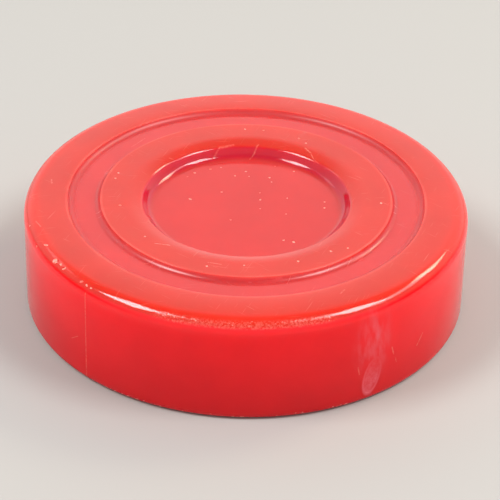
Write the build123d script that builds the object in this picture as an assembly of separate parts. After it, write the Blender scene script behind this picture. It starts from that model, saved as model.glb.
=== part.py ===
from build123d import *

import os
from math import cos, radians, tan

# Dealer button for a card table: one disc of cast resin, turned on a lathe and polished.
#
# The button is a single piece of material, so the model is one solid in one node, button_body.
# It is a body of revolution about +Z. The origin is the centre of the flat underside, and the
# button rests on the plane Z = 0 with its patterned face up. Sizes are in millimetres and
# drafts are in degrees from the axis.

# Overall size: two inches across and half an inch thick.
BUTTON_DIAMETER = 50.8
BUTTON_THICKNESS = 12.7

# Edges of the disc, rounded over. The outer land falls away a little towards the rim.
RIM_EDGE_RADIUS = 1.6
BASE_EDGE_RADIUS = 0.7
CROWN_WIDTH = 3.2
CROWN_DROP = 0.2
CROWN_BLEND_RADIUS = 20.0

# Face pattern, inwards from the rim: outer land, ring groove, inner land, central recess.
OUTER_LAND_WIDTH = 5.0
GROOVE_WIDTH = 3.7
INNER_LAND_WIDTH = 4.75

# Ring groove: a flat floor between two walls, each hollowed into a cove right up to its edge.
GROOVE_DEPTH = 0.58
GROOVE_WALL_DRAFT = 20.0
GROOVE_EDGE_RADIUS = 0.06

# Central recess: the inner land rolls down to its lip, and a coved wall leads to a flat floor.
ROLL_WIDTH = 1.4
ROLL_DROP = 0.34
ROLL_BLEND_RADIUS = 5.0
RECESS_DEPTH = 1.6
RECESS_WALL_DRAFT = 34.0
RECESS_LIP_RADIUS = 0.6
RECESS_COVE_RADIUS = 1.2

RIGHT_ANGLE = 90.0
SHARP = 0.0


def cove_radius(depth: float, draft: float, edge_radius: float) -> float:
    """The radius of a cove that takes up a drafted wall between its rounded edge and its foot."""
    turn = radians(RIGHT_ANGLE - draft)
    wall = depth / cos(radians(draft))
    slack = edge_radius * tan(turn / 2)
    return (wall - 2 * slack) / tan(turn / 2)


def half_section() -> Sketch:
    """The section from the axis to the rim, in the XZ plane."""
    rim = BUTTON_DIAMETER / 2
    face = BUTTON_THICKNESS

    groove_outer = rim - OUTER_LAND_WIDTH
    groove_inner = groove_outer - GROOVE_WIDTH
    groove_floor = face - GROOVE_DEPTH
    groove_run = GROOVE_DEPTH * tan(radians(GROOVE_WALL_DRAFT))
    groove_cove = cove_radius(GROOVE_DEPTH, GROOVE_WALL_DRAFT, GROOVE_EDGE_RADIUS)

    lip = groove_inner - INNER_LAND_WIDTH
    lip_height = face - ROLL_DROP
    recess_floor = face - RECESS_DEPTH
    recess_run = (lip_height - recess_floor) * tan(radians(RECESS_WALL_DRAFT))

    # Each corner is its distance from the axis, its height, and the radius that rounds it.
    corners = [
        (0.0, 0.0, SHARP),
        (rim, 0.0, BASE_EDGE_RADIUS),
        (rim, face - CROWN_DROP, RIM_EDGE_RADIUS),
        (rim - CROWN_WIDTH, face, CROWN_BLEND_RADIUS),
        (groove_outer, face, GROOVE_EDGE_RADIUS),
        (groove_outer - groove_run, groove_floor, groove_cove),
        (groove_inner + groove_run, groove_floor, groove_cove),
        (groove_inner, face, GROOVE_EDGE_RADIUS),
        (lip + ROLL_WIDTH, face, ROLL_BLEND_RADIUS),
        (lip, lip_height, RECESS_LIP_RADIUS),
        (lip - recess_run, recess_floor, RECESS_COVE_RADIUS),
        (0.0, recess_floor, SHARP),
    ]
    points = [(distance, height) for distance, height, _ in corners]
    radii = [radius for _, _, radius in corners]
    outline = FilletPolyline(*points, radius=radii, close=True)
    return Plane.XZ * make_face(outline)


def button_body() -> Part:
    """The whole button: the half section turned once round the axis."""
    return revolve(half_section(), axis=Axis.Z)


PARTS = {
    "button_body": button_body,
}

os.makedirs("parts", exist_ok=True)
for node, build in PARTS.items():
    part = build()
    part.label = node
    export_step(part, f"parts/{node}.step")
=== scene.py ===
"""Looks for a dealer button: one disc of red cast resin, turned, polished and worn by use.

The button is modelled as it is made. A round blank is faced, a ring groove and a central recess are
cut into its face, the edges are rounded over, and years of handling chip and scratch it. It stands
on a plain pale floor under five soft lamps and a graded sky. Lengths are in metres.
"""

import logging
import math
import random
from dataclasses import dataclass
from enum import Enum

import bpy
from mathutils import Matrix, Vector


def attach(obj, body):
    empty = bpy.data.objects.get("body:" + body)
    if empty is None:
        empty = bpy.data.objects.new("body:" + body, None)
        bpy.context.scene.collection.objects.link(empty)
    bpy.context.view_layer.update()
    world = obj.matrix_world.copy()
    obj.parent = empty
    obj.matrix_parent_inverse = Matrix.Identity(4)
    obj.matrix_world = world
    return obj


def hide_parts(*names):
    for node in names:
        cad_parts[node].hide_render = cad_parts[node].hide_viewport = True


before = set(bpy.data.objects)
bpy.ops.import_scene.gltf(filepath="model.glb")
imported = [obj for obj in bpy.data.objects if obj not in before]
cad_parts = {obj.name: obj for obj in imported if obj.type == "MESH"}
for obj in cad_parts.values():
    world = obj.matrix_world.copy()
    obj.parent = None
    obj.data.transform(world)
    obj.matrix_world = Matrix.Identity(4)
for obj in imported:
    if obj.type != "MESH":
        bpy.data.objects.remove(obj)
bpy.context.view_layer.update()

MM = 0.001
Z_AXIS = Vector((0.0, 0.0, 1.0))
BODY = "root"
NODE = "button_body"
LOG = logging.getLogger("dealer_button")
# A Mix node's colour sockets share their names with its number sockets, so they go by position.
MIX_FIRST = 6
MIX_SECOND = 7
MIX_RESULT = 2


def linear(hex_colour: str) -> tuple[float, float, float, float]:
    """Turn an sRGB hex colour into the linear colour that a shader takes.

    Args:
        hex_colour: six hex digits, with or without a leading hash.

    Returns:
        Red, green, blue and an alpha of one.
    """
    digits = hex_colour.lstrip("#")
    channels = [int(digits[i:i + 2], 16) / 255 for i in (0, 2, 4)]
    values = [c / 12.92 if c <= 0.04045 else ((c + 0.055) / 1.055) ** 2.4 for c in channels]
    return (*values, 1.0)


def add_node(tree: bpy.types.NodeTree, kind: str, *values: object, out: int | str = 0,
             named: dict[int | str, object] | None = None,
             **settings: object) -> bpy.types.NodeSocket:
    """Add one node with its settings, and set or link its inputs.

    Args:
        tree: the node tree to add to.
        kind: the node's type name.
        values: one for each input in order, a socket to link or a value to set, None to leave.
        out: which output to return, by position or name.
        named: more inputs, by name or position.
        settings: the node's own properties.

    Returns:
        The chosen output of the new node.
    """
    node = tree.nodes.new(kind)
    for name, value in settings.items():
        setattr(node, name, value)
    wanted = [(node.inputs[i], value) for i, value in enumerate(values)]
    wanted += [(node.inputs[name], value) for name, value in (named or {}).items()]
    for socket, value in wanted:
        if isinstance(value, bpy.types.NodeSocket):
            tree.links.new(value, socket)
        elif value is not None:
            socket.default_value = value
    return node.outputs[out] if node.outputs else None


def deselect_all() -> None:
    """Leave edit mode and deselect every object."""
    if bpy.context.object and bpy.context.object.mode != "OBJECT":
        bpy.ops.object.mode_set(mode="OBJECT")
    bpy.ops.object.select_all(action="DESELECT")


def select_only(piece: bpy.types.Object) -> None:
    """Make one object the only selected and the active one.

    Args:
        piece: the object.
    """
    deselect_all()
    piece.select_set(True)
    bpy.context.view_layer.objects.active = piece


def apply_place(piece: bpy.types.Object) -> None:
    """Move an object's place, turn and scale into its mesh."""
    select_only(piece)
    bpy.ops.object.transform_apply(location=True, rotation=True, scale=True)


def polar(radius: float, angle_deg: float, height: float) -> Vector:
    """A point from its distance to the axis, its angle from +X and its height."""
    angle = math.radians(angle_deg)
    return Vector((radius * math.cos(angle), radius * math.sin(angle), height))


class Zone(Enum):
    """The parts of the surface that get marked."""

    RIM = "rim"
    BASE = "base"
    LAND = "land"
    FLOOR = "floor"
    WALL = "wall"


@dataclass(frozen=True)
class Chip:
    """A small scoop knocked out of the surface.

    Attributes:
        zone: the part of the surface that it is in.
        angle: where it is round the disc, in degrees from +X.
        along: its slope in degrees on a rounded edge, or its distance from the axis on a flat.
        length: size along the edge.
        width: size across the edge.
        depth: how far it goes in.
        skew: its turn out of line with the edge, in degrees.
    """

    zone: Zone
    angle: float
    along: float
    length: float
    width: float
    depth: float
    skew: float = 0.0


@dataclass(frozen=True)
class Scratch:
    """A fine straight mark that shows pale.

    Attributes:
        zone: the face, or the wall.
        start: one end. On the face, distance from the axis and degrees; on the wall, degrees and
            height.
        end: the other end.
        width: how wide it is.
        weight: how strongly it shows, from none to one.
    """

    zone: Zone
    start: tuple[float, float]
    end: tuple[float, float]
    width: float
    weight: float


@dataclass(frozen=True)
class Places:
    """The coordinates that the masks of the resin are worked out from.

    Attributes:
        point: the place on the disc.
        height: its height.
        plan: its place across the face, with no height.
        radius: its distance from the axis.
        angle: where it is round the disc, in radians.
        wrap: its place round the wall, as distance and height.
    """

    point: bpy.types.NodeSocket
    height: bpy.types.NodeSocket
    plan: bpy.types.NodeSocket
    radius: bpy.types.NodeSocket
    angle: bpy.types.NodeSocket
    wrap: bpy.types.NodeSocket


@dataclass(frozen=True)
class ResinFinish:
    """Cast resin, buffed to a gloss: a deep clear red with a wet shine and fine hairline scratches.

    Light goes a few millimetres into it. The orange glow of the rim is painted into the colour, and
    the groove is tinted pinker.
    """

    name: str = "polished_cast_resin"
    # The face, the groove and the recess floor take a darker red than the wall. This is painted
    # shade that holds back the stronger light these upward surfaces get from the overhead lamps, so
    # wall and face are lit and shaded copies of one red.
    wall: str = "#F60818"
    face: str = "#C52A18"
    groove: str = "#C62B2D"
    floor: str = "#C52421"
    # Painted shade: the recess wall is tinted a dark crimson, the shade of the hollow.
    cove: str = "#C40E2A"
    # Painted glow: an orange tint on the rim that stands in for light shining through the thin
    # edge.
    painted_rim_glow: str = "#D2240C"
    pale: str = "#F59C88"
    cloudy: str = "#EC7480"
    ior: float = 1.53
    roughness: float = 0.08
    scatter_depth: float = 2.5 * MM
    rubbed_from: float = -111.0
    rubbed_to: float = -68.0
    smudge_angle: float = -56.2
    smudge_height: float = 3.2 * MM
    smudge_tilt: float = -14.0
    cloud_height: float = 7.5 * MM
    haze_lies: tuple[tuple[float, float], ...] = (
        (8.0, 0.0), (67.0, 13.0 * MM), (-38.0, 27.0 * MM))
    scratches: tuple[Scratch, ...] = (
        Scratch(Zone.WALL, (-132.5, 0.4 * MM), (-132.3, 11.6 * MM), 0.16 * MM, 0.35),
        Scratch(Zone.WALL, (-41.0, 4.2 * MM), (-38.9, 5.4 * MM), 0.14 * MM, 0.5),
        Scratch(Zone.WALL, (-50.3, 5.9 * MM), (-49.6, 4.9 * MM), 0.18 * MM, 0.45),
        Scratch(Zone.WALL, (-48.9, 4.2 * MM), (-48.5, 3.6 * MM), 0.14 * MM, 0.3),
        Scratch(Zone.WALL, (-137.8, 4.4 * MM), (-135.4, 5.2 * MM), 0.12 * MM, 0.25),
        Scratch(Zone.WALL, (-60.5, 4.9 * MM), (-60.0, 3.9 * MM), 0.2 * MM, 0.3),
        Scratch(Zone.LAND, (14.4 * MM, -134.0), (13.5 * MM, -128.0), 0.14 * MM, 0.6),
        Scratch(Zone.LAND, (14.5 * MM, -106.0), (14.5 * MM, -100.0), 0.14 * MM, 0.5),
        Scratch(Zone.LAND, (15.0 * MM, -103.0), (15.1 * MM, -97.0), 0.1 * MM, 0.3),
        Scratch(Zone.LAND, (13.2 * MM, 59.0), (12.8 * MM, 54.5), 0.20 * MM, 0.6),
        Scratch(Zone.LAND, (12.8 * MM, 54.5), (12.1 * MM, 50.0), 0.16 * MM, 0.45),
        Scratch(Zone.LAND, (12.1 * MM, 50.0), (11.9 * MM, 45.0), 0.12 * MM, 0.2),
        Scratch(Zone.LAND, (12.3 * MM, 84.0), (11.5 * MM, 86.0), 0.20 * MM, 0.4),
        Scratch(Zone.LAND, (11.5 * MM, 86.0), (10.9 * MM, 88.5), 0.18 * MM, 0.25),
        Scratch(Zone.LAND, (12.2 * MM, 98.0), (12.0 * MM, 106.0), 0.34 * MM, 0.3),
        Scratch(Zone.LAND, (12.0 * MM, 106.0), (11.3 * MM, 111.0), 0.20 * MM, 0.2),
        Scratch(Zone.LAND, (12.5 * MM, 137.0), (12.1 * MM, 136.0), 0.20 * MM, 0.4),
        Scratch(Zone.LAND, (22.0 * MM, -152.0), (22.4 * MM, -154.0), 0.14 * MM, 0.2),
        Scratch(Zone.LAND, (22.5 * MM, 175.0), (22.7 * MM, 173.0), 0.20 * MM, 0.35),
        Scratch(Zone.LAND, (24.3 * MM, -165.5), (24.0 * MM, -162.5), 0.16 * MM, 0.3),
        Scratch(Zone.LAND, (18.0 * MM, 140.0), (18.4 * MM, 132.0), 0.12 * MM, 0.25),
        Scratch(Zone.LAND, (22.0 * MM, -62.0), (21.6 * MM, -60.0), 0.20 * MM, 0.35),
    )

    def scratch_mask(self) -> bpy.types.NodeTree:
        """Make the node group that is one along a straight line and none away from it.

        Returns:
            The group, with a place, two ends and a width in, and a mask out.
        """
        group = bpy.data.node_groups.new("scratch_mask", "ShaderNodeTree")
        for name, kind in (("Place", "Vector"), ("Start", "Vector"), ("End", "Vector"),
                           ("Width", "Float")):
            group.interface.new_socket(name, in_out="INPUT", socket_type=f"NodeSocket{kind}")
        group.interface.new_socket("Mask", in_out="OUTPUT", socket_type="NodeSocketFloat")
        given = group.nodes.new("NodeGroupInput").outputs
        line = add_node(group, "ShaderNodeVectorMath", given["End"], given["Start"],
                        operation="SUBTRACT")
        offset = add_node(group, "ShaderNodeVectorMath", given["Place"], given["Start"],
                          operation="SUBTRACT")
        done = add_node(group, "ShaderNodeVectorMath", offset, line, out="Value",
                        operation="DOT_PRODUCT")
        whole = add_node(group, "ShaderNodeVectorMath", line, line, out="Value",
                         operation="DOT_PRODUCT")
        share = add_node(group, "ShaderNodeMath", done, whole, operation="DIVIDE", use_clamp=True)
        nearest = add_node(group, "ShaderNodeVectorMath", line, named={"Scale": share},
                           operation="SCALE")
        gap = add_node(group, "ShaderNodeVectorMath", offset, nearest, out="Value",
                       operation="DISTANCE")
        ratio = add_node(group, "ShaderNodeMath", gap, given["Width"], operation="DIVIDE")
        mask = add_node(group, "ShaderNodeMapRange", ratio, 0.15, 0.6, 1.0, 0.0)
        add_node(group, "NodeGroupOutput", mask)
        return group

    def scratch_marks(self, tree: bpy.types.NodeTree, plan: bpy.types.NodeSocket,
                      wrap: bpy.types.NodeSocket, on_side: bpy.types.NodeSocket,
                      rim: float) -> bpy.types.NodeSocket:
        """Add every placed scratch.

        Args:
            tree: the material's nodes.
            plan: the place across the face.
            wrap: the place round the wall, as distance and height.
            on_side: the mask of the wall.
            rim: the disc's radius.

        Returns:
            The mask of them all.
        """
        group = self.scratch_mask()
        total = None
        for mark in self.scratches:
            if mark.zone is Zone.WALL:
                place = wrap
                ends = [(math.radians(angle) * rim, height, 0.0)
                        for angle, height in (mark.start, mark.end)]
            else:
                place = plan
                ends = [tuple(polar(*end, 0.0)) for end in (mark.start, mark.end)]
            mask = add_node(tree, "ShaderNodeGroup", node_tree=group)
            node = mask.node
            tree.links.new(place, node.inputs["Place"])
            node.inputs["Start"].default_value = ends[0]
            node.inputs["End"].default_value = ends[1]
            node.inputs["Width"].default_value = mark.width
            weighed = add_node(tree, "ShaderNodeMath", mask, mark.weight, operation="MULTIPLY")
            if mark.zone is Zone.WALL:
                weighed = self.product(tree, weighed, on_side)
            total = weighed if total is None else add_node(
                tree, "ShaderNodeMath", total, weighed, operation="MAXIMUM")
        return total

    def band(self, tree: bpy.types.NodeTree, value: bpy.types.NodeSocket, low: float, high: float,
             soft: float) -> bpy.types.NodeSocket:
        """Make a mask that is one while a value is between two limits.

        Args:
            tree: the material's nodes.
            value: the value.
            low: the lower limit.
            high: the upper limit.
            soft: how far each end fades to either side of its limit.

        Returns:
            The mask.
        """
        rise = add_node(tree, "ShaderNodeMapRange", value, low - soft, low + soft, 0.0, 1.0,
                        interpolation_type="SMOOTHSTEP")
        fall = add_node(tree, "ShaderNodeMapRange", value, high - soft, high + soft, 1.0, 0.0,
                        interpolation_type="SMOOTHSTEP")
        return add_node(tree, "ShaderNodeMath", rise, fall, operation="MULTIPLY")

    def product(self, tree: bpy.types.NodeTree, *factors: object) -> bpy.types.NodeSocket:
        """Multiply several masks together.

        Args:
            tree: the material's nodes.
            factors: the masks, at least two.

        Returns:
            Their product.
        """
        total = factors[0]
        for factor in factors[1:]:
            total = add_node(tree, "ShaderNodeMath", total, factor, operation="MULTIPLY")
        return total

    def places(self, tree: bpy.types.NodeTree, rim: float) -> Places:
        """Work out the coordinates that the masks need.

        Args:
            tree: the material's nodes.
            rim: the disc's radius.

        Returns:
            The coordinates.
        """
        point = add_node(tree, "ShaderNodeTexCoord", out="Object")
        x, y, height = add_node(tree, "ShaderNodeSeparateXYZ", point).node.outputs
        plan = add_node(tree, "ShaderNodeCombineXYZ", x, y)
        radius = add_node(tree, "ShaderNodeVectorMath", plan, out="Value", operation="LENGTH")
        angle = add_node(tree, "ShaderNodeMath", y, x, operation="ARCTAN2")
        arc = add_node(tree, "ShaderNodeMath", angle, rim, operation="MULTIPLY")
        wrap = add_node(tree, "ShaderNodeCombineXYZ", arc, height)
        return Places(point, height, plan, radius, angle, wrap)

    def zones(self, tree: bpy.types.NodeTree, disc: "TurnedDisc",
              at: Places) -> dict[str, bpy.types.NodeSocket]:
        """Make a mask for each part of the surface that has its own tint or polish. Some of the
        tints are painted shade, and one is a painted glow.

        Args:
            tree: the material's nodes.
            disc: the disc, for the places of its edges and bands.
            at: the coordinates.

        Returns:
            The masks, by name.
        """
        rim, lip, face = disc.rim, disc.lip, disc.thickness
        on_face = self.band(tree, at.height, face - 0.75 * MM, face + 1.0 * MM, 0.35 * MM)
        near_top = self.band(tree, at.height, face - 2.0 * MM, face + 1.0 * MM, 0.2 * MM)
        in_groove = self.product(
            tree, on_face,
            self.band(tree, at.radius, disc.groove_inner, disc.groove_outer, 0.12 * MM))
        in_recess = self.product(
            tree, near_top, self.band(tree, at.radius, -lip, lip, 0.25 * MM))
        # Painted shade on the wall of the recess, between its lip and its floor.
        painted_cove_shade_mask = self.product(
            tree, self.band(tree, at.radius, lip - 0.95 * MM, lip + 0.1 * MM, 0.25 * MM),
            self.band(tree, at.height, face - 1.6 * MM, face - 0.4 * MM, 0.12 * MM))
        on_side = add_node(tree, "ShaderNodeMapRange", at.radius, rim - 1.2 * MM,
                           rim - 0.9 * MM, 0.0, 1.0)
        # Painted glow: this mask tints the rim's edge orange, as if it were lit through.
        painted_rim_glow_mask = self.product(
            tree, self.band(tree, at.height, face - 0.75 * MM, face + 1.0 * MM, 0.2 * MM),
            self.band(tree, at.radius, rim - 1.5 * MM, rim + 1.0 * MM, 0.7 * MM))
        return {"face": on_face, "groove": in_groove, "recess": in_recess, "cove": painted_cove_shade_mask,
                "side": on_side, "rim": painted_rim_glow_mask}

    def handling(self, tree: bpy.types.NodeTree, disc: "TurnedDisc", at: Places,
                 zones: dict[str, bpy.types.NodeSocket],
                 rub: bpy.types.NodeSocket) -> tuple[bpy.types.NodeSocket, ...]:
        """Make the masks of the wear: scratches, a rubbed rim, a haze of stray marks, a smudge.

        Args:
            tree: the material's nodes.
            disc: the disc.
            at: the coordinates.
            zones: the masks of the parts of the surface.
            rub: fine noise that breaks the marks up.

        Returns:
            The marks that are pitted, all the marks that are pale, and the smudge.
        """
        face = disc.thickness
        broken = add_node(tree, "ShaderNodeMapRange", rub, 0.38, 0.58, 0.2, 1.0)
        placed = self.product(
            tree, self.scratch_marks(tree, at.plan, at.wrap, zones["side"], disc.rim), broken)
        rubbed = self.product(
            tree,
            self.band(tree, at.angle, math.radians(self.rubbed_from),
                      math.radians(self.rubbed_to), math.radians(4.0)),
            self.band(tree, at.height, face - 0.95 * MM, face - 0.35 * MM, 0.14 * MM),
            self.band(tree, at.radius, disc.rim - 1.2 * MM, disc.rim + 1.0 * MM, 0.1 * MM),
            add_node(tree, "ShaderNodeMapRange", rub, 0.42, 0.62, 0.0, 0.30))
        haze = self.product(tree, self.haze(tree, at.plan), zones["face"])
        grain = add_node(tree, "ShaderNodeTexNoise", at.point,
                         named={"Scale": 1700.0, "Detail": 5.0, "Roughness": 0.7})
        smudge = self.product(tree, self.smudge(tree, at.wrap, disc.rim, grain), zones["side"])
        marks = add_node(tree, "ShaderNodeMath", placed, rubbed, operation="MAXIMUM")
        pale = add_node(tree, "ShaderNodeMath", marks, haze, operation="MAXIMUM")
        return marks, pale, smudge

    def relief(self, tree: bpy.types.NodeTree, disc: "TurnedDisc", at: Places,
               rub: bpy.types.NodeSocket, marks: bpy.types.NodeSocket) -> bpy.types.NodeSocket:
        """Raise the faint rings that the turning tool left, and pit the rubbed places.

        Args:
            tree: the material's nodes.
            disc: the disc.
            at: the coordinates.
            rub: fine noise for the pits.
            marks: the mask of the rubbed places.

        Returns:
            The normal.
        """
        ringed = add_node(tree, "ShaderNodeTexNoise", noise_dimensions="1D",
                          named={"W": at.radius, "Scale": 2600.0, "Detail": 2.0})
        ringed = self.product(
            tree, ringed,
            self.band(tree, at.radius, -disc.lip, disc.rim - disc.crown_width, 0.5 * MM))
        rings = add_node(tree, "ShaderNodeBump", named={
            "Height": ringed, "Strength": 0.3, "Distance": 0.02 * MM})
        pits = self.product(tree, rub, marks)
        return add_node(tree, "ShaderNodeBump", named={
            "Height": pits, "Strength": 0.6, "Distance": 0.06 * MM, "Normal": rings})

    def material(self, disc: "TurnedDisc") -> bpy.types.Material:
        """Make the material.

        Args:
            disc: the disc that wears it, for the places of its edges and bands.

        Returns:
            The finished material.
        """
        face = disc.thickness
        material = bpy.data.materials.new(self.name)
        material.use_nodes = True
        tree = material.node_tree
        tree.nodes.clear()
        at = self.places(tree, disc.rim)
        zones = self.zones(tree, disc, at)
        # The wall's red is the lit copy. The darker face, groove and floor tints below are painted
        # shade.
        colour: object = linear(self.wall)
        for zone, tint in (("face", self.face), ("recess", self.floor), ("cove", self.cove),
                           ("groove", self.groove), ("rim", self.painted_rim_glow)):
            colour = add_node(tree, "ShaderNodeMix", zones[zone], out=MIX_RESULT,
                              named={MIX_FIRST: colour, MIX_SECOND: linear(tint)},
                              data_type="RGBA")

        # The resin is a little uneven in depth of colour. It is also darker towards its foot:
        # painted shade, where less light reaches the bottom of the wall.
        mottle = add_node(tree, "ShaderNodeTexNoise", at.point,
                          named={"Scale": 140.0, "Detail": 4.0})
        uneven = add_node(tree, "ShaderNodeMapRange", mottle, 0.3, 0.7, 0.93, 1.04)
        # Painted shade: darker towards the foot of the wall.
        foot = add_node(tree, "ShaderNodeMapRange", at.height, 0.0, face * 0.8, 0.74, 1.0,
                        interpolation_type="SMOOTHSTEP")
        depth = self.product(tree, uneven, foot)
        colour = add_node(tree, "ShaderNodeMix", 1.0, out=MIX_RESULT,
                          named={MIX_FIRST: colour, MIX_SECOND: depth},
                          data_type="RGBA", blend_type="MULTIPLY")

        # Wear is pale. The edges of the groove are paled a little all the way round: partly wear,
        # partly a painted highlight along the edges.
        rub = add_node(tree, "ShaderNodeTexNoise", at.point,
                       named={"Scale": 4200.0, "Detail": 4.0, "Roughness": 0.7})
        marks, wear, smudge = self.handling(tree, disc, at, zones, rub)
        across = add_node(tree, "ShaderNodeMath", at.radius,
                          (disc.groove_inner + disc.groove_outer) / 2, operation="SUBTRACT")
        off_middle = add_node(tree, "ShaderNodeMath", across, operation="ABSOLUTE")
        half_groove = disc.groove_width / 2
        # Partly wear, partly a painted highlight: a faint pale band along both edges of the groove.
        edges = self.product(
            tree, zones["face"],
            self.band(tree, off_middle, half_groove - 0.05 * MM, half_groove + 0.25 * MM,
                      0.08 * MM),
            add_node(tree, "ShaderNodeMapRange", mottle, 0.35, 0.65, 0.04, 0.14))
        wear = add_node(tree, "ShaderNodeMath", wear, edges, operation="MAXIMUM")
        for mask, tint in ((wear, self.pale), (smudge, self.cloudy)):
            colour = add_node(tree, "ShaderNodeMix", mask, out=MIX_RESULT,
                              named={MIX_FIRST: colour, MIX_SECOND: linear(tint)},
                              data_type="RGBA")

        # The walls of the groove were left less polished than the lands.
        walls = self.product(
            tree, zones["face"],
            self.band(tree, off_middle, half_groove - 0.9 * MM, half_groove, 0.1 * MM))
        wall_dull = add_node(tree, "ShaderNodeMapRange", across, -half_groove, half_groove,
                             0.24, 0.40)
        dull = add_node(tree, "ShaderNodeMapRange", walls, 0.0, 1.0, self.roughness, wall_dull)
        dull = add_node(tree, "ShaderNodeMath", wear, 0.35, dull, operation="MULTIPLY_ADD")
        dull = add_node(tree, "ShaderNodeMath", smudge, 0.3, dull, operation="MULTIPLY_ADD")
        cloud = add_node(tree, "ShaderNodeMapRange", mottle, 0.35, 0.7, -0.02, 0.04)
        dull = add_node(tree, "ShaderNodeMath", dull, cloud, operation="ADD")

        normal = self.relief(tree, disc, at, rub, marks)
        # The wall was buffed less than the face, so it shines a little less.
        shine = add_node(tree, "ShaderNodeMapRange", at.height, face - 2.2 * MM, face - 1.4 * MM,
                         0.3, 0.5)
        surface = add_node(tree, "ShaderNodeBsdfPrincipled", named={
            "Base Color": colour,
            "Roughness": dull,
            "IOR": self.ior,
            "Specular IOR Level": shine,
            "Normal": normal,
            "Subsurface Weight": 1.0,
            "Subsurface Radius": (1.0, 0.12, 0.08),
            "Subsurface Scale": self.scatter_depth,
        })
        add_node(tree, "ShaderNodeOutputMaterial", surface)
        return material

    def haze(self, tree: bpy.types.NodeTree,
             plan: bpy.types.NodeSocket) -> bpy.types.NodeSocket:
        """Make the faint stray hairlines that handling leaves on the face, in three directions.

        Args:
            tree: the material's nodes.
            plan: the place across the face.

        Returns:
            Their mask.
        """
        total = None
        for turn, shift in self.haze_lies:
            lie = add_node(tree, "ShaderNodeMapping", plan, (shift, shift, 0.0),
                           (0.0, 0.0, math.radians(turn)), (3.6 * MM, 0.17 * MM, 1.0),
                           vector_type="TEXTURE")
            streak = add_node(tree, "ShaderNodeTexNoise", lie, named={"Scale": 1.0, "Detail": 1.0})
            line = add_node(tree, "ShaderNodeMapRange", streak, 0.70, 0.80, 0.0, 0.18)
            total = line if total is None else add_node(
                tree, "ShaderNodeMath", total, line, operation="MAXIMUM")
        return total

    def smudge(self, tree: bpy.types.NodeTree, wrap: bpy.types.NodeSocket, rim: float,
               grain: bpy.types.NodeSocket) -> bpy.types.NodeSocket:
        """Make the oval smudge near the foot of the wall, and the cloudy streaks above it.

        Args:
            tree: the material's nodes.
            wrap: the place round the wall, as distance and height.
            rim: the disc's radius.
            grain: fine noise that breaks it up.

        Returns:
            Its mask.
        """
        centre = math.radians(self.smudge_angle) * rim
        oval = add_node(tree, "ShaderNodeMapping", wrap, (centre, self.smudge_height, 0.0),
                        (0.0, 0.0, math.radians(self.smudge_tilt)),
                        (1.15 * MM, 2.5 * MM, 1.0), vector_type="TEXTURE")
        reach = add_node(tree, "ShaderNodeVectorMath", oval, out="Value", operation="LENGTH")
        inside = add_node(tree, "ShaderNodeMapRange", reach, 0.55, 1.1, 1.0, 0.0,
                          interpolation_type="SMOOTHSTEP")
        outline = self.band(tree, reach, 0.82, 1.0, 0.08)
        patchy = add_node(tree, "ShaderNodeMapRange", grain, 0.35, 0.65, 0.25, 0.85)
        lower = add_node(tree, "ShaderNodeSeparateXYZ", oval, out="Y")
        lower = add_node(tree, "ShaderNodeMapRange", lower, -1.0, 0.8, 1.0, 0.3)
        spot = self.product(tree, inside, patchy, lower)
        ring = self.product(tree, outline, lower)
        spot = add_node(tree, "ShaderNodeMath", ring, 0.45, spot, operation="MULTIPLY_ADD")
        cloud = add_node(tree, "ShaderNodeMapping", wrap, (centre, self.cloud_height, 0.0),
                         (0.0, 0.0, 0.0), (2.6 * MM, 5.0 * MM, 1.0), vector_type="TEXTURE")
        spread = add_node(tree, "ShaderNodeVectorMath", cloud, out="Value", operation="LENGTH")
        area = add_node(tree, "ShaderNodeMapRange", spread, 0.2, 1.2, 1.0, 0.0,
                        interpolation_type="SMOOTHSTEP")
        lie = add_node(tree, "ShaderNodeMapping", wrap, (0.0, 0.0, 0.0), (0.0, 0.0, 0.15),
                       (0.9 * MM, 3.2 * MM, 1.0), vector_type="TEXTURE")
        wisp = add_node(tree, "ShaderNodeTexNoise", lie, named={"Scale": 1.0, "Detail": 4.0})
        wisp = add_node(tree, "ShaderNodeMapRange", wisp, 0.4, 0.68, 0.05, 0.5)
        streaks = self.product(tree, area, wisp)
        return add_node(tree, "ShaderNodeMath", spot, streaks, operation="MAXIMUM",
                        use_clamp=True)


@dataclass(frozen=True)
class ChippedFinish:
    """The same resin where it has broken: matt and paler, without the wet shine."""

    name: str = "chipped_cast_resin"
    colour: str = "#FFA897"
    deep: str = "#E8412C"
    ior: float = 1.53
    roughness: float = 0.5

    def material(self) -> bpy.types.Material:
        """Make the material.

        Returns:
            The finished material.
        """
        material = bpy.data.materials.new(self.name)
        material.use_nodes = True
        tree = material.node_tree
        tree.nodes.clear()
        place = add_node(tree, "ShaderNodeTexCoord", out="Object")
        grain = add_node(tree, "ShaderNodeTexNoise", place, named={"Scale": 5000.0, "Detail": 3.0})
        share = add_node(tree, "ShaderNodeMapRange", grain, 0.35, 0.6, 0.0, 1.0)
        colour = add_node(tree, "ShaderNodeMix", share, out=MIX_RESULT, data_type="RGBA",
                          named={MIX_FIRST: linear(self.deep), MIX_SECOND: linear(self.colour)})
        bump = add_node(tree, "ShaderNodeBump", named={
            "Height": grain, "Strength": 0.5, "Distance": 0.05 * MM})
        surface = add_node(tree, "ShaderNodeBsdfPrincipled", named={
            "Base Color": colour,
            "Roughness": self.roughness,
            "IOR": self.ior,
            "Normal": bump,
            "Subsurface Weight": 0.5,
            "Subsurface Radius": (1.0, 0.2, 0.15),
            "Subsurface Scale": 0.4 * MM,
        })
        add_node(tree, "ShaderNodeOutputMaterial", surface)
        return material


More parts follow.
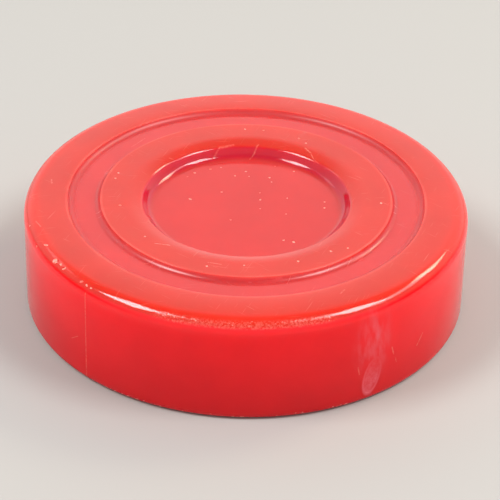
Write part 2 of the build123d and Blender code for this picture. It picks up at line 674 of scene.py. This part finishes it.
@dataclass
class TurnedDisc:
    """The button itself, from blank to worn disc."""

    diameter: float = 50.8 * MM
    thickness: float = 12.7 * MM
    rim_fillet: float = 1.6 * MM
    base_fillet: float = 0.7 * MM
    crown_width: float = 3.2 * MM
    crown_drop: float = 0.2 * MM
    crown_fillet: float = 20.0 * MM
    outer_land: float = 5.0 * MM
    groove_width: float = 3.7 * MM
    inner_land: float = 4.75 * MM
    groove_depth: float = 0.58 * MM
    groove_draft: float = 20.0
    groove_edge_fillet: float = 0.06 * MM
    roll_width: float = 1.4 * MM
    roll_drop: float = 0.34 * MM
    roll_fillet: float = 5.0 * MM
    recess_depth: float = 1.6 * MM
    recess_draft: float = 34.0
    lip_fillet: float = 0.6 * MM
    recess_cove_fillet: float = 1.2 * MM
    sides: int = 480
    centre_rings: int = 5
    rim_nicks: int = 26
    land_nicks: int = 14
    base_nicks: tuple[tuple[float, float, int], ...] = (
        (-126.0, -110.0, 12), (-70.0, -58.0, 12), (-110.0, -70.0, 8))
    pebble_roughness: float = 0.14
    weld: float = 0.002 * MM
    least_edge: float = 0.001 * MM
    crisp_angle: float = 28.0
    seed: int = 11
    piece: bpy.types.Object | None = None

    @property
    def rim(self) -> float:
        """The radius of the wall."""
        return self.diameter / 2

    @property
    def groove_outer(self) -> float:
        """The radius of the groove's outer edge."""
        return self.rim - self.outer_land

    @property
    def groove_inner(self) -> float:
        """The radius of the groove's inner edge."""
        return self.groove_outer - self.groove_width

    @property
    def lip(self) -> float:
        """The radius of the recess's lip."""
        return self.groove_inner - self.inner_land

    @property
    def floor_height(self) -> float:
        """The height of the recess's floor."""
        return self.thickness - self.recess_depth

    def steps(self) -> list[tuple[float, float]]:
        """The cuts across the face, from the rim inwards.

        Returns:
            Pairs of the distance to move inwards and the height to rise, one for each cut.
        """
        groove_run = self.groove_depth * math.tan(math.radians(self.groove_draft))
        wall_drop = self.recess_depth - self.roll_drop
        wall_run = wall_drop * math.tan(math.radians(self.recess_draft))
        return [
            (self.crown_width, self.crown_drop),
            (self.outer_land - self.crown_width, 0.0),
            (groove_run, -self.groove_depth),
            (self.groove_width - 2 * groove_run, 0.0),
            (groove_run, self.groove_depth),
            (self.inner_land - self.roll_width, 0.0),
            (self.roll_width, -self.roll_drop),
            (wall_run, -wall_drop),
        ]

    def section(self) -> list[Vector]:
        """The corners of the section, from the base to the recess.

        Returns:
            Each corner, as distance from the axis and height.
        """
        points = [Vector((self.rim, 0.0)), Vector((self.rim, self.thickness - self.crown_drop))]
        for inwards, rise in self.steps():
            points.append(points[-1] + Vector((-inwards, rise)))
        return points

    def groove_cove_fillet(self) -> float:
        """The radius of the coves that take up the groove's walls.

        Returns:
            The radius, as large as the wall leaves room for.
        """
        half_turn = math.tan(math.radians(90.0 - self.groove_draft) / 2)
        wall = self.groove_depth / math.cos(math.radians(self.groove_draft))
        return wall / half_turn - 2 * self.groove_edge_fillet

    def blank(self) -> None:
        """Cut the blank from the bar: a plain round slab."""
        deselect_all()
        bpy.ops.mesh.primitive_circle_add(
            vertices=self.sides, radius=self.rim, fill_type="NGON", location=(0, 0, 0))
        self.piece = bpy.context.object
        self.piece.name = "turned_disc"
        bpy.ops.object.mode_set(mode="EDIT")
        bpy.ops.mesh.select_all(action="SELECT")
        bpy.ops.mesh.extrude_region_move(
            TRANSFORM_OT_translate={"value": (0, 0, self.thickness - self.crown_drop)})
        bpy.ops.object.mode_set(mode="OBJECT")

    def cut_face(self) -> None:
        """Cut the groove and the recess into the face, one inset for each pass of the tool."""
        select_only(self.piece)
        bpy.ops.object.mode_set(mode="EDIT")
        for inwards, rise in self.steps():
            bpy.ops.mesh.inset(thickness=inwards, depth=rise)
        bpy.ops.object.mode_set(mode="OBJECT")

    def close_centre(self, height: float) -> None:
        """Divide the big face in the middle of the recess or the base into rings and wedges.

        Args:
            height: the height of that face.
        """
        select_only(self.piece)
        bpy.ops.object.mode_set(mode="EDIT")
        bpy.ops.mesh.select_all(action="DESELECT")
        bpy.ops.object.mode_set(mode="OBJECT")
        centre = [f for f in self.piece.data.polygons
                  if len(f.vertices) == self.sides and abs(f.center.z - height) < 0.01 * MM][0]
        reach = max(math.hypot(*self.piece.data.vertices[v].co.xy) for v in centre.vertices)
        centre.select = True
        bpy.ops.object.mode_set(mode="EDIT")
        for _ in range(self.centre_rings):
            bpy.ops.mesh.inset(thickness=reach / (self.centre_rings + 1))
        bpy.ops.mesh.poke()
        bpy.ops.object.mode_set(mode="OBJECT")

    def round_corner(self, before: Vector, corner: Vector, after: Vector, fillet: float,
                     segments: int) -> None:
        """Round one circular edge.

        Args:
            before: the section's corner before this one, as distance and height.
            corner: this corner.
            after: the corner after it.
            fillet: the radius of the rounding.
            segments: the flats that make it up.
        """
        turn = (corner - before).angle(after - corner)
        select_only(self.piece)
        bpy.ops.object.mode_set(mode="EDIT")
        bpy.ops.mesh.select_mode(type="EDGE")
        bpy.ops.mesh.select_all(action="DESELECT")
        bpy.ops.object.mode_set(mode="OBJECT")
        mesh = self.piece.data
        near = [(Vector((math.hypot(v.co.x, v.co.y), v.co.z)) - corner).length < 0.005 * MM
                for v in mesh.vertices]
        for edge in mesh.edges:
            edge.select = all(near[v] for v in edge.vertices)
        bpy.ops.object.mode_set(mode="EDIT")
        bpy.ops.mesh.bevel(offset_type="OFFSET", offset=fillet * math.tan(turn / 2),
                           segments=segments, profile=0.5, affect="EDGES", clamp_overlap=False)
        bpy.ops.object.mode_set(mode="OBJECT")

    def round_corners(self) -> None:
        """Round every corner of the section."""
        centre = Vector((0.0, 0.0))
        points = [centre, *self.section(), Vector((0.0, self.floor_height))]
        cove = self.groove_cove_fillet()
        roundings = [
            (self.base_fillet, 6),
            (self.rim_fillet, 16),
            (self.crown_fillet, 4),
            (self.groove_edge_fillet, 3),
            (cove, 8),
            (cove, 8),
            (self.groove_edge_fillet, 3),
            (self.roll_fillet, 6),
            (self.lip_fillet, 6),
            (self.recess_cove_fillet, 10),
        ]
        for i, (fillet, segments) in enumerate(roundings, start=1):
            self.round_corner(points[i - 1], points[i], points[i + 1], fillet, segments)

    def foot(self, chip: Chip) -> tuple[Vector, Vector]:
        """Find where a chip is on the surface.

        Args:
            chip: the chip.

        Returns:
            Its place, and the way out of the surface there.
        """
        if chip.zone is Zone.FLOOR:
            return polar(chip.along, chip.angle, self.floor_height), Z_AXIS
        if chip.zone is Zone.LAND:
            return polar(chip.along, chip.angle, self.thickness), Z_AXIS
        if chip.zone is Zone.RIM:
            # The crown slopes, so the middle of the rim's rounding is a little above level.
            crown = math.atan2(self.crown_drop, self.crown_width)
            rise = (1.0 - math.sin(crown)) / math.cos(crown)
            fillet = self.rim_fillet
            core = self.thickness - self.crown_drop - fillet * rise
        else:
            fillet, core = self.base_fillet, self.base_fillet
        slope = math.radians(chip.along)
        normal = polar(math.cos(slope), chip.angle, math.sin(slope))
        return polar(self.rim - fillet, chip.angle, core) + normal * fillet, normal

    def placed_chips(self) -> list[Chip]:
        """The chips that stand out: the worst of the rim, and the specks on the recess floor.

        Returns:
            The chips. The rows below are angle, slope, length, width, depth and skew on the rim,
            and distance and angle on the floor, in degrees and millimetres.
        """
        rim = [
            (-146.6, 51.0, 0.90, 0.70, 0.12, 35.0),
            (-144.2, 56.0, 0.55, 0.30, 0.08, -20.0),
            (-142.4, 52.0, 0.60, 0.34, 0.08, 60.0),
            (-143.9, 36.0, 0.44, 0.36, 0.09, 10.0),
            (-135.0, 49.0, 0.60, 0.30, 0.07, 40.0),
            (-132.9, 48.0, 0.46, 0.24, 0.06, -30.0),
            (-131.3, 47.0, 0.36, 0.22, 0.06, 20.0),
            (-156.5, 29.0, 0.36, 0.26, 0.05, 0.0),
            (-153.9, 64.0, 0.80, 0.30, 0.05, 30.0),
            (-165.5, 41.0, 0.32, 0.26, 0.05, 0.0),
        ]
        floor = [
            (7.3, 101), (8.2, 91), (7.1, 88), (7.4, 69), (6.6, 64), (3.8, 66), (2.5, 50),
            (1.6, -1), (5.3, 27), (9.2, 11), (9.0, 3), (4.5, 130), (6.7, 165), (3.1, -124),
            (4.7, -13), (7.9, -57), (8.8, -52), (9.7, 136), (9.8, 129), (9.6, 117), (9.5, 109),
            (10.1, 57), (10.1, 71),
        ]
        rng = random.Random(self.seed)
        marks = [Chip(Zone.RIM, angle, slope, length * MM, width * MM, depth * MM, skew)
                 for angle, slope, length, width, depth, skew in rim]
        for distance, angle in floor:
            size = rng.uniform(0.14, 0.30) * MM
            marks.append(Chip(Zone.FLOOR, angle, distance * MM, size * rng.uniform(1.0, 1.6), size,
                              0.03 * MM, rng.uniform(-90.0, 90.0)))
        return marks

    def clean_chips(self) -> list[Chip]:
        """The two chips at the worst of the rim that broke clean and kept their gloss."""
        return [Chip(Zone.RIM, -146.1, 57.0, 0.52 * MM, 0.40 * MM, 0.17 * MM, 35.0),
                Chip(Zone.RIM, -142.7, 54.0, 0.28 * MM, 0.16 * MM, 0.13 * MM, 60.0)]

    def stray_chips(self) -> list[Chip]:
        """The many small nicks: along the rubbed part of the rim, the base and the lands.

        Returns:
            The nicks, the same each run.
        """
        rng = random.Random(self.seed + 1)
        marks = []
        for _ in range(self.rim_nicks):
            size = rng.uniform(0.12, 0.30) * MM
            marks.append(Chip(Zone.RIM, rng.uniform(-111.0, -67.0), rng.gauss(49.0, 6.0), size,
                              size * rng.uniform(0.5, 0.9), size * 0.10, rng.uniform(-60.0, 60.0)))
        for low, high, count in self.base_nicks:
            for _ in range(count):
                size = rng.uniform(0.2, 0.55) * MM
                marks.append(Chip(Zone.BASE, rng.uniform(low, high), rng.gauss(-22.0, 8.0), size,
                                  size * rng.uniform(0.3, 0.5), size * 0.12,
                                  rng.uniform(-15.0, 15.0)))
        for _ in range(self.land_nicks):
            size = rng.uniform(0.26, 0.36) * MM
            marks.append(Chip(Zone.LAND, rng.uniform(-180.0, 180.0), rng.uniform(14.2, 15.6) * MM,
                              size, size * 0.85, 0.02 * MM, rng.uniform(-90.0, 90.0)))
        return marks

    def apart(self, chips: list[Chip]) -> list[Chip]:
        """Drop each chip that would touch one before it in the list.

        Args:
            chips: the chips.

        Returns:
            Those that are left.
        """
        kept: list[Chip] = []
        for chip in chips:
            here = self.foot(chip)[0]
            if all((here - self.foot(other)[0]).length > 0.6 * (chip.length + other.length)
                   for other in kept):
                kept.append(chip)
        return kept

    def chip_tool(self, chip: Chip, number: int) -> bpy.types.Object:
        """The rough pebble shape that one chip is scooped out with.

        Args:
            chip: the chip to cut.
            number: its place in the list, which seeds its roughness.

        Returns:
            The cutting shape, in place.
        """
        foot, normal = self.foot(chip)
        reach = chip.depth / 0.6
        deselect_all()
        bpy.ops.mesh.primitive_ico_sphere_add(subdivisions=3 if chip.length > 0.4 * MM else 2,
                                              radius=1.0)
        tool = bpy.context.object
        bpy.ops.object.mode_set(mode="EDIT")
        bpy.ops.mesh.select_all(action="SELECT")
        bpy.ops.transform.vertex_random(offset=self.pebble_roughness, seed=number)
        bpy.ops.object.mode_set(mode="OBJECT")
        angle = math.radians(chip.angle)
        along = Vector((-math.sin(angle), math.cos(angle), 0.0))
        along = Matrix.Rotation(math.radians(chip.skew), 3, normal) @ along
        turn = Matrix((along, normal.cross(along), normal)).transposed()
        tool.matrix_world = (Matrix.Translation(foot + normal * (reach - chip.depth))
                             @ turn.to_4x4()
                             @ Matrix.Diagonal((chip.length / 2, chip.width / 2, reach, 1.0)))
        apply_place(tool)
        return tool

    def cut_chips(self, chips: list[Chip], finish: bpy.types.Material) -> None:
        """Scoop chips out of the disc.

        Args:
            chips: the chips, none of which touch.
            finish: the finish that the cuts leave.
        """
        tools = [self.chip_tool(chip, i) for i, chip in enumerate(chips)]
        deselect_all()
        for tool in tools:
            tool.select_set(True)
        bpy.context.view_layer.objects.active = tools[0]
        bpy.ops.object.join()
        cutter = bpy.context.object
        cutter.data.materials.append(finish)
        select_only(self.piece)
        modifier = self.piece.modifiers.new("chips", "BOOLEAN")
        modifier.operation = "DIFFERENCE"
        modifier.solver = "EXACT"
        modifier.material_mode = "TRANSFER"
        modifier.object = cutter
        bpy.ops.object.modifier_apply(modifier=modifier.name)
        select_only(cutter)
        bpy.ops.object.delete()

    def drop_slivers(self) -> None:
        """Delete what the cuts left loose, and keep the one closed body."""
        name = self.piece.name
        select_only(self.piece)
        bpy.ops.object.mode_set(mode="EDIT")
        bpy.ops.mesh.select_all(action="SELECT")
        bpy.ops.mesh.separate(type="LOOSE")
        bpy.ops.object.mode_set(mode="OBJECT")
        parts = sorted(bpy.context.selected_objects, key=lambda part: len(part.data.polygons))
        self.piece = parts.pop()
        for part in parts:
            LOG.info("dropped a loose sliver of %d faces", len(part.data.polygons))
            select_only(part)
            bpy.ops.object.delete()
        self.piece.name = name

    def finish_mesh(self) -> None:
        """Point every face outwards and smooth the shading, with the chips' edges left crisp."""
        select_only(self.piece)
        bpy.ops.object.mode_set(mode="EDIT")
        bpy.ops.mesh.select_all(action="SELECT")
        bpy.ops.mesh.remove_doubles(threshold=self.weld)
        bpy.ops.mesh.dissolve_degenerate(threshold=self.least_edge)
        bpy.ops.mesh.normals_make_consistent(inside=False)
        bpy.ops.object.mode_set(mode="OBJECT")
        bpy.ops.object.shade_smooth_by_angle(angle=math.radians(self.crisp_angle))
        modifier = self.piece.modifiers.new("even_shading", "WEIGHTED_NORMAL")
        modifier.keep_sharp = True
        bpy.ops.object.modifier_apply(modifier=modifier.name)

    def build(self) -> bpy.types.Object:
        """Make and dress the disc.

        Returns:
            The finished piece.
        """
        self.blank()
        self.cut_face()
        self.close_centre(0.0)
        self.close_centre(self.floor_height)
        self.round_corners()
        polished = ResinFinish().material(self)
        broken = ChippedFinish().material()
        self.piece.data.materials.append(polished)
        self.piece.data.materials.append(broken)
        LOG.info("turned: %d faces", len(self.piece.data.polygons))
        chips = self.apart([*self.placed_chips(), *self.stray_chips()])
        self.cut_chips(chips, broken)
        LOG.info("chipped: %d chips, %d faces", len(chips), len(self.piece.data.polygons))
        self.cut_chips(self.clean_chips(), polished)
        self.drop_slivers()
        self.finish_mesh()
        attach(self.piece, BODY)
        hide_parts(NODE)
        return self.piece


@dataclass(frozen=True)
class Lamp:
    """One soft lamp that faces the button.

    Attributes:
        name: the lamp's name.
        direction: the way to it from the button.
        power: its power in watts.
        size: how wide its face is.
        height: how high its face is.
        colour: its colour.
        distance: how far away it is.
    """

    name: str
    direction: tuple[float, float, float]
    power: float
    size: float
    height: float
    colour: str = "#FFFFFF"
    distance: float = 0.62

    def hang(self) -> bpy.types.Object:
        """Add the lamp, turned to face the button.

        Returns:
            The lamp.
        """
        deselect_all()
        way = Vector(self.direction).normalized()
        bpy.ops.object.light_add(type="AREA", location=way * self.distance)
        lamp = bpy.context.object
        lamp.name = self.name
        lamp.rotation_euler = way.to_track_quat("Z", "Y").to_euler()
        lamp.data.shape = "RECTANGLE"
        lamp.data.size = self.size
        lamp.data.size_y = self.height
        lamp.data.energy = self.power
        lamp.data.color = linear(self.colour)[:3]
        return lamp


@dataclass
class Studio:
    """A pale table, soft lights and the camera."""

    table_size: float = 4.0
    table_colour: str = "#AEACA8"
    camera_distance: float = 0.25904
    camera_elevation: float = 32.92
    camera_roll: float = 1.31
    lens: float = 160.94
    sensor: float = 36.0
    aim: tuple[float, float, float] = (0.55 * MM, -0.43 * MM, 5.68 * MM)
    lamps: tuple[Lamp, ...] = (
        Lamp("left_lamp", (-0.57, -0.15, 0.81), 2.26, 0.22, 0.22),
        Lamp("right_lamp", (0.57, -0.15, 0.81), 1.98, 0.22, 0.22),
        Lamp("side_lamp", (0.60, 0.44, 0.64), 0.80, 0.16, 0.15, "#FFE6C2"),
        Lamp("rear_lamp", (-0.66, 0.40, 0.60), 0.08, 0.20, 0.12),
        Lamp("strip_lamp", (0.72, 0.12, 0.68), 0.56, 0.46, 0.10),
    )

    def table(self) -> bpy.types.Object:
        """Make the pale floor.

        Returns:
            The floor.
        """
        deselect_all()
        bpy.ops.mesh.primitive_plane_add(size=self.table_size, location=(0, 0, 0))
        table = bpy.context.object
        table.name = "pale_table"
        material = bpy.data.materials.new("pale_laminate")
        material.use_nodes = True
        surface = material.node_tree.nodes["Principled BSDF"]
        surface.inputs["Base Color"].default_value = linear(self.table_colour)
        surface.inputs["Roughness"].default_value = 0.7
        table.data.materials.append(material)
        return table

    def surroundings(self) -> None:
        """Light the room: bright low down, most of all behind the button, and dim overhead."""
        world = bpy.data.worlds.new("room")
        bpy.context.scene.world = world
        world.use_nodes = True
        tree = world.node_tree
        tree.nodes.clear()
        way = add_node(tree, "ShaderNodeTexCoord", out="Generated")
        _, y, z = add_node(tree, "ShaderNodeSeparateXYZ", way).node.outputs
        back = add_node(tree, "ShaderNodeMapRange", y, -0.3, 0.7, 0.95, 1.4,
                        interpolation_type="SMOOTHSTEP")
        top = add_node(tree, "ShaderNodeMapRange", z, 0.58, 0.80, 1.0, 0.42,
                       interpolation_type="SMOOTHSTEP")
        level = add_node(tree, "ShaderNodeMath", back, top, operation="MULTIPLY")
        ahead = add_node(tree, "ShaderNodeMath", y, operation="ABSOLUTE")
        ahead = add_node(tree, "ShaderNodeMath", ahead, 0.5, z,
                         operation="MULTIPLY_ADD")
        low = add_node(tree, "ShaderNodeMapRange", ahead, 0.16, 0.5, 0.2, 1.0,
                       interpolation_type="SMOOTHSTEP")
        level = add_node(tree, "ShaderNodeMath", level, low, operation="MULTIPLY")
        light = add_node(tree, "ShaderNodeBackground", None, level)
        add_node(tree, "ShaderNodeOutputWorld", light)

    def camera(self) -> bpy.types.Object:
        """Set up the camera at its place, aimed at the middle of the button.

        Returns:
            The camera.
        """
        elevation = math.radians(self.camera_elevation)
        back = Vector((0.0, -math.cos(elevation), math.sin(elevation)))
        deselect_all()
        bpy.ops.object.camera_add(location=Vector(self.aim) + back * self.camera_distance)
        camera = bpy.context.object
        camera.name = "camera"
        turn = back.to_track_quat("Z", "Y").to_matrix() @ Matrix.Rotation(
            math.radians(self.camera_roll), 3, "Z")
        camera.rotation_euler = turn.to_euler()
        camera.data.lens = self.lens
        camera.data.sensor_width = self.sensor
        camera.data.clip_start = 0.01
        bpy.context.scene.camera = camera
        return camera

    def build(self) -> None:
        """Set up the whole studio."""
        self.table()
        for lamp in self.lamps:
            lamp.hang()
        self.surroundings()
        self.camera()
        bpy.context.scene.view_settings.view_transform = "Standard"


def main() -> None:
    """Build the button, its finish and the studio, and report each."""
    logging.basicConfig(level=logging.INFO, format="%(asctime)s %(name)s: %(message)s")
    disc = TurnedDisc()
    piece = disc.build()
    LOG.info("%s: %d faces", piece.name, len(piece.data.polygons))
    Studio().build()
    LOG.info("studio ready")


if __name__ == "__main__":
    main()
